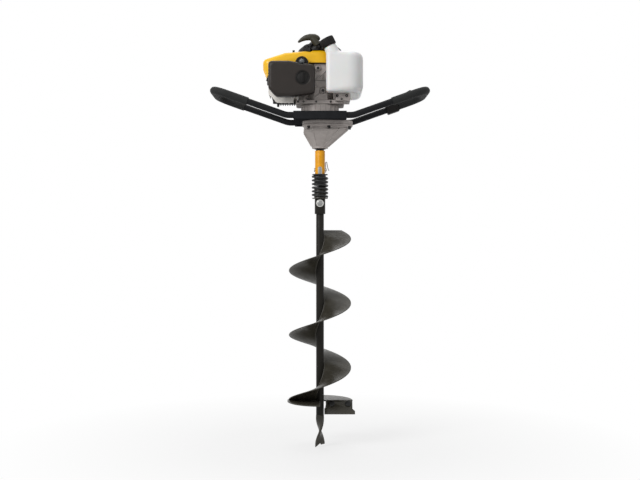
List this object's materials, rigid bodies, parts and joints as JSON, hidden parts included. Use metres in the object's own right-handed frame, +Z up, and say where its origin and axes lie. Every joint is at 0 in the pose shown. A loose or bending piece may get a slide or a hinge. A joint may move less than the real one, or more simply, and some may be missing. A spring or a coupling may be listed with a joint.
{
  "type": "earth auger",
  "caption": "Petrol earth auger: engine powerhead over a gearbox and looped tube handle, driving a helical soil bit through a shock spring coupling.",
  "frame": {"origin": "on the drive axis at the lowest tip of the bit", "axes": "+Z up along the drive axis, +X to the right of a viewer in front, -Y towards that viewer"},
  "size_m": [0.6948, 0.2339, 1.3181],
  "materials": {
    "bit_black": "satin black paint",
    "spring_black": "black powder coat",
    "yellow_paint": "yellow paint",
    "yellow_plastic": "moulded yellow plastic",
    "zinc": "zinc plated",
    "steel": "machined steel",
    "cast": "die cast",
    "cylinder_cast": "die cast fins",
    "bolt_black": "black oxide",
    "bearing": "bearing steel",
    "seal": "nitrile rubber",
    "lining": "friction lining",
    "handle_black": "black powder coat",
    "grip": "grip rubber",
    "black_plastic": "textured black plastic",
    "brown_black": "dark brown-black plastic",
    "red_plastic": "red plastic",
    "muffler_steel": "aluminised steel",
    "guard_black": "heat resistant black",
    "foam": "filter foam",
    "clear_rubber": "clear elastomer",
    "rope": "braided nylon",
    "handle_olive": "dark olive plastic",
    "tank_white": "translucent white polyethylene"
  },
  "bodies": {
    "powerhead": {"gearbox_case": "cast", "gearbox_cover": "cast", "case_bolts": "bolt_black", "output_seal": "seal", "ball_bearings": "bearing", "clutch_housing": "cast", "handle_frame": "handle_black", "handle_cradle": "handle_black", "left_grip": "grip", "right_grip": "grip", "throttle_housing": "black_plastic", "crankcase_lower": "cast", "crankcase_upper": "cast", "engine_cylinder": "cylinder_cast", "ignition_coil": "black_plastic", "spark_plug": "black_plastic", "muffler": "muffler_steel", "muffler_guard": "guard_black", "carburettor": "cylinder_cast", "air_filter_base": "brown_black", "air_filter_element": "foam", "air_filter_cover": "brown_black", "engine_shroud": "yellow_plastic", "starter_housing": "black_plastic", "fuel_tank": "tank_white"},
    "drive": {"output_shaft": "steel", "output_gear": "steel", "drive_coupler": "yellow_paint", "coupler_pin": "zinc", "hairpin_clip": "zinc", "shock_spring": "spring_black"},
    "bit": {"bit_adapter": "bit_black", "bit_socket": "bit_black", "auger_tube": "bit_black", "auger_flight": "bit_black", "cutting_head": "bit_black", "cutting_blade": "bit_black", "blade_bolts": "bolt_black", "fishtail_point": "bit_black", "bit_bolt": "zinc"},
    "layshaft_set": {"layshaft": "steel", "layshaft_gear": "steel"},
    "drum_set": {"pinion_shaft": "steel", "clutch_drum": "steel"},
    "crank_set": {"crankshaft": "steel", "flywheel": "cast"},
    "shoe_front": {"clutch_shoe_front": "lining"},
    "shoe_rear": {"clutch_shoe_rear": "lining"},
    "piston_set": {"piston": "cylinder_cast", "connecting_rod": "steel"},
    "pulley": {"starter_pulley": "black_plastic", "recoil_spring": "steel"},
    "pull_handle": {"starter_handle": "handle_olive", "starter_rope": "rope"},
    "trigger": {"throttle_trigger": "black_plastic"},
    "switch": {"stop_switch": "red_plastic"},
    "choke": {"choke_lever": "brown_black"},
    "knob": {"filter_knob": "brown_black"},
    "primer": {"primer_bulb": "clear_rubber"},
    "cap": {"fuel_cap": "black_plastic"}
  },
  "joints": [
    {"name": "auger_spin", "type": "hinge", "parent": "powerhead", "child": "drive", "pos_m": [0, 0, 0.9], "axis": [0, 0, 1], "continuous": true},
    {"name": "spring_twist", "type": "hinge", "parent": "drive", "child": "bit", "pos_m": [0, 0, 0.8], "axis": [0, 0, 1], "range_deg": [-30, 30], "stiffness_Nm_per_rad": 40, "deforming": ["shock_spring"]},
    {"name": "layshaft_spin", "type": "hinge", "parent": "powerhead", "child": "layshaft_set", "pos_m": [0.045, 0, 1.02], "axis": [0, 0, 1], "continuous": true},
    {"name": "drum_spin", "type": "hinge", "parent": "powerhead", "child": "drum_set", "pos_m": [0, 0, 1.05], "axis": [0, 0, 1], "continuous": true},
    {"name": "crank_spin", "type": "hinge", "parent": "powerhead", "child": "crank_set", "pos_m": [0, 0, 1.2], "axis": [0, 0, 1], "continuous": true},
    {"name": "shoe_front_out", "type": "slide", "parent": "crank_set", "child": "shoe_front", "axis": [0, -1, 0], "range_m": [0, 0.001], "stiffness_N_per_m": 9000},
    {"name": "shoe_rear_out", "type": "slide", "parent": "crank_set", "child": "shoe_rear", "axis": [0, 1, 0], "range_m": [0, 0.001], "stiffness_N_per_m": 9000},
    {"name": "piston_stroke", "type": "slide", "parent": "powerhead", "child": "piston_set", "axis": [1, 0, 0], "range_m": [0, 0.034]},
    {"name": "starter_pull", "type": "slide", "parent": "powerhead", "child": "pull_handle", "axis": [-0.4695, 0, 0.8829], "range_m": [0, 0.7], "stiffness_N_per_m": 12},
    {"name": "pulley_turn", "type": "hinge", "parent": "powerhead", "child": "pulley", "pos_m": [0, 0, 1.277], "axis": [0, 0, 1], "range_deg": [0, 1000], "deforming": ["recoil_spring"]},
    {"name": "throttle_squeeze", "type": "hinge", "parent": "powerhead", "child": "trigger", "pos_m": [0.24533, 0.102, 1.12797], "axis": [0, 1, 0], "range_deg": [0, 9], "stiffness_Nm_per_rad": 2.5},
    {"name": "stop_switch_rock", "type": "hinge", "parent": "powerhead", "child": "switch", "pos_m": [0.22526, 0.102, 1.11874], "axis": [0, 1, 0], "range_deg": [-15, 15]},
    {"name": "choke_turn", "type": "hinge", "parent": "powerhead", "child": "choke", "pos_m": [-0.157, -0.081, 1.19], "axis": [0, 1, 0], "range_deg": [0, 60]},
    {"name": "filter_knob_turn", "type": "hinge", "parent": "powerhead", "child": "knob", "pos_m": [-0.054, -0.1, 1.172], "axis": [0, -1, 0], "range_deg": [0, 90]},
    {"name": "primer_press", "type": "slide", "parent": "powerhead", "child": "primer", "axis": [0, 1, 0], "range_m": [0, 0.005], "stiffness_N_per_m": 900},
    {"name": "fuel_cap_turn", "type": "hinge", "parent": "powerhead", "child": "cap", "pos_m": [0.034, -0.087, 1.267], "axis": [-0.4478, 0, 0.8942], "range_deg": [0, 540]}
  ],
  "couplings": [
    {"joint": "layshaft_spin", "follows": "auger_spin", "ratio": -5},
    {"joint": "drum_spin", "follows": "auger_spin", "ratio": 25},
    {"joint": "shoe_rear_out", "follows": "shoe_front_out", "ratio": 1},
    {"joint": "pulley_turn", "follows": "starter_pull", "rad_per_m": 23.809}
  ]
}
